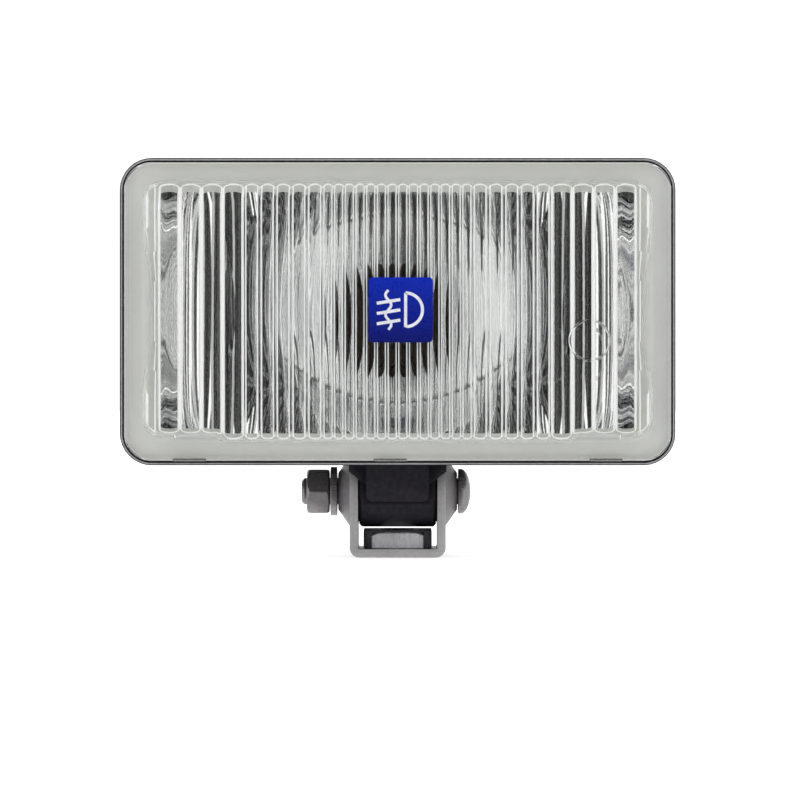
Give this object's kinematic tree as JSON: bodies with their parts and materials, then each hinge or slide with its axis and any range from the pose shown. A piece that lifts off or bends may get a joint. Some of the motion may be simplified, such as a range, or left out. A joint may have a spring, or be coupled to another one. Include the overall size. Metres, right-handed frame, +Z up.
{
  "type": "fog light",
  "caption": "Rectangular halogen fog light with a fluted glass, mirror reflector and black housing, tilting on a U bracket.",
  "frame": {"origin": "centre of the bolt hole on the underside of the bracket", "axes": "+X to the right of the lens as seen from the front, +Y rearwards, so the lens faces -Y, +Z up from the mounting face"},
  "size_m": [0.163, 0.062, 0.118],
  "materials": {
    "bracket_steel": "pressed stainless steel strip, satin",
    "plated_steel": "plain fastener steel, slightly dull",
    "housing_plastic": "black moulded plastic, fine grain",
    "rubber": "black rubber",
    "lens_glass": "clear pressed glass with vertical flutes",
    "badge_blue": "gloss blue badge with a silver lamp symbol",
    "reflector_mirror": "vapour-coated mirror",
    "spring_steel": "bright spring steel",
    "bulb_glass": "clear quartz glass",
    "tungsten": "grey wire",
    "ceramic": "off-white unglazed ceramic",
    "brass": "tinned brass contact",
    "lead_sleeve": "black glass-fibre sleeve"
  },
  "bodies": {
    "bracket": {"bracket": "bracket_steel", "pivot_washer": "plated_steel", "pivot_nut": "plated_steel", "pivot_bolt": "plated_steel", "mount_nut": "plated_steel", "nut_retainer": "housing_plastic"},
    "head": {"housing": "housing_plastic", "pivot_sleeve": "bracket_steel", "cable_grommet": "rubber"},
    "optic_unit": {"lens": "lens_glass", "badge": "badge_blue", "lens_gasket": "rubber", "reflector": "reflector_mirror", "lens_clip_left": "spring_steel", "lens_clip_centre": "spring_steel", "lens_clip_right": "spring_steel", "bulb_holder": "bracket_steel", "holder_rivet_1": "plated_steel", "holder_rivet_2": "plated_steel", "holder_rivet_3": "plated_steel", "holder_rivet_4": "plated_steel", "ground_tab": "brass", "bulb_glass": "bulb_glass", "bulb_filament": "tungsten", "bulb_base": "plated_steel", "bulb_insulator": "ceramic", "bulb_lead": "lead_sleeve", "lead_terminal": "brass"},
    "bulb_clip": {"bulb_clip": "spring_steel"}
  },
  "joints": [
    {"name": "head_tilt", "type": "hinge", "parent": "bracket", "child": "head", "pos_m": [0, 0, 0.0195], "axis": [1, 0, 0], "range_deg": [-35, 35]},
    {"name": "optic_slide", "type": "slide", "parent": "head", "child": "optic_unit", "axis": [0, -1, 0], "range_m": [0, 0.048]},
    {"name": "clip_swing", "type": "hinge", "parent": "optic_unit", "child": "bulb_clip", "pos_m": [0, 0.0182, 0.0879], "axis": [1, 0, 0], "range_deg": [0, 12]}
  ]
}
